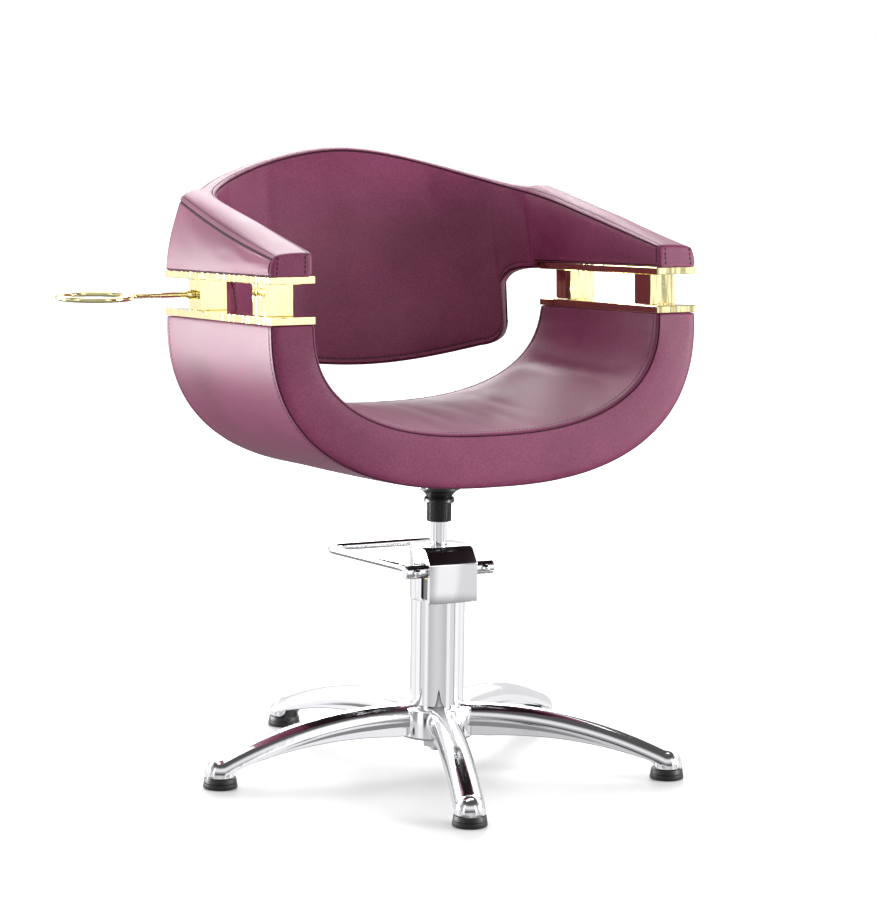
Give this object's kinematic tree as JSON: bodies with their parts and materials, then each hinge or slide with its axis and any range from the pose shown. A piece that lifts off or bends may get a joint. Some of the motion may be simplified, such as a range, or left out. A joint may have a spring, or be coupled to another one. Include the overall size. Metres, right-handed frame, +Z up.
{
  "type": "hairdressing chair",
  "caption": "Salon chair with an upholstered bucket seat and wrap-round back joined by gold plates and posts, on a swivelling hydraulic pump with foot pedal and a star base.",
  "frame": {"origin": "on the floor, at the middle of the chair's bounding box in plan", "axes": "+Z up; the sitter faces -Y; +X is the sitter's left, so the dryer holder is on the -X side"},
  "size_m": [0.8733, 0.7459, 0.9],
  "materials": {
    "plum_leather": "soft satin upholstery leather",
    "polished_gold": "bright polished gold plating",
    "chrome": "bright chrome plating",
    "polished_aluminium": "polished casting",
    "black_plastic": "satin black",
    "black_painted": "satin black paint",
    "black_rubber": "matt rubber",
    "plain_steel": "plain turned steel",
    "cast_iron": "plain casting",
    "bronze": "plain turned bronze",
    "beech_ply": "sanded plywood"
  },
  "bodies": {
    "base": {"star_base": "polished_aluminium", "foot_1": "black_rubber", "foot_2": "black_rubber", "foot_3": "black_rubber", "foot_4": "black_rubber", "foot_5": "black_rubber", "pump_column": "chrome", "pump_cylinder": "plain_steel", "clamp_washer": "plain_steel", "clamp_nut": "plain_steel", "pump_head": "cast_iron", "gland_bush": "bronze", "shaft_bush_left": "bronze", "shaft_bush_right": "bronze", "pump_cap": "chrome"},
    "lift": {"piston_rod": "chrome", "piston_head": "bronze"},
    "seat": {"ribbed_collar": "black_plastic", "seat_flange": "black_painted", "seat_plate": "black_painted", "seat_bolt_1": "plain_steel", "seat_bolt_2": "plain_steel", "seat_bolt_3": "plain_steel", "seat_bolt_4": "plain_steel", "seat_board": "beech_ply", "seat_pad": "plum_leather", "back_pad": "plum_leather", "upper_plate_left": "polished_gold", "lower_plate_left": "polished_gold", "post_front_left": "polished_gold", "post_rear_left": "polished_gold", "seat_rail_left": "beech_ply", "back_rail_left": "beech_ply", "tie_bolt_front_left": "plain_steel", "tie_bolt_rear_left": "plain_steel", "upper_plate_right": "polished_gold", "lower_plate_right": "polished_gold", "post_front_right": "polished_gold", "post_rear_right": "polished_gold", "seat_rail_right": "beech_ply", "back_rail_right": "beech_ply", "tie_bolt_front_right": "plain_steel", "tie_bolt_rear_right": "plain_steel", "dryer_boss": "polished_gold", "dryer_ring": "polished_gold"},
    "pedal": {"pedal_shaft": "chrome", "pedal_bar": "chrome", "rocker_fork": "plain_steel"},
    "plunger": {"plunger": "plain_steel", "plunger_spring": "plain_steel"}
  },
  "joints": [
    {"name": "lift_slide", "type": "slide", "parent": "base", "child": "lift", "axis": [0, 0, 1], "range_m": [-0.03, 0.115]},
    {"name": "seat_swivel", "type": "hinge", "parent": "lift", "child": "seat", "pos_m": [0.10025, -0.02074, 0.4], "axis": [0, 0, 1], "continuous": true},
    {"name": "pedal_hinge", "type": "hinge", "parent": "base", "child": "pedal", "pos_m": [0.10025, -0.05474, 0.301], "axis": [-1, 0, 0], "range_deg": [0, 22], "stiffness_Nm_per_rad": 6, "springref_deg": -20.05},
    {"name": "plunger_slide", "type": "slide", "parent": "base", "child": "plunger", "axis": [0, 0, -1], "range_m": [0, 0.0245], "deforming": ["plunger_spring"]}
  ],
  "couplings": [
    {"joint": "plunger_slide", "follows": "pedal_hinge", "m_per_rad": 0.063}
  ]
}
